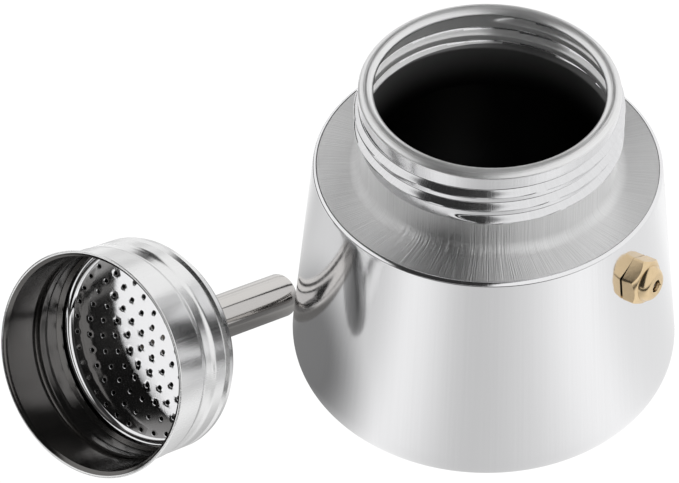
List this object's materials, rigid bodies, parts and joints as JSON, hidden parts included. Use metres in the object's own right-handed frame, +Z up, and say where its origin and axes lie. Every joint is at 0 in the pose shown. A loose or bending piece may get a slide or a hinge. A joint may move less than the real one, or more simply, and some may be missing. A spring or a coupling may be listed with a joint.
{
  "type": "moka pot",
  "caption": "Lower half of a stainless steel stovetop moka pot: boiler with threaded neck and brass safety valve, and the funnel filter lying on its side beside it.",
  "frame": {"origin": "centre of the boiler's base, on the table", "axes": "+Z up along the boiler's axis; the safety valve is at the right, turned 34.5 degrees towards -Y from +X; the funnel lies at -X"},
  "size_m": [0.1718, 0.1125, 0.0925],
  "materials": {
    "polished_steel": "mirror polished stainless steel",
    "satin_steel": "satin stainless steel with fine turning marks",
    "plate_steel": "mirror polished stainless steel sheet",
    "brass": "machined brass, bright",
    "spring_steel": "plain spring steel",
    "silicone": "matt silicone rubber"
  },
  "bodies": {
    "boiler": {"boiler_body": "polished_steel", "boiler_top": "satin_steel", "valve_body": "brass", "valve_seat": "brass", "valve_gasket": "silicone", "valve_locknut": "brass", "valve_spring": "spring_steel"},
    "valve_pin": {"valve_piston": "spring_steel", "valve_seal": "silicone"},
    "funnel": {"funnel_basket": "polished_steel", "funnel_stem": "polished_steel", "filter_plate": "plate_steel"}
  },
  "joints": [
    {"name": "valve_pin_slide", "type": "slide", "parent": "boiler", "child": "valve_pin", "axis": [0.8204, -0.5638, 0.0953], "range_m": [0, 0.0015], "stiffness_N_per_m": 1200, "springref_m": -0.002, "deforming": ["valve_spring"]},
    {"name": "funnel_lift", "type": "slide", "parent": "boiler", "child": "funnel", "axis": [0, 0, 1], "range_m": [0, 0.12]}
  ]
}
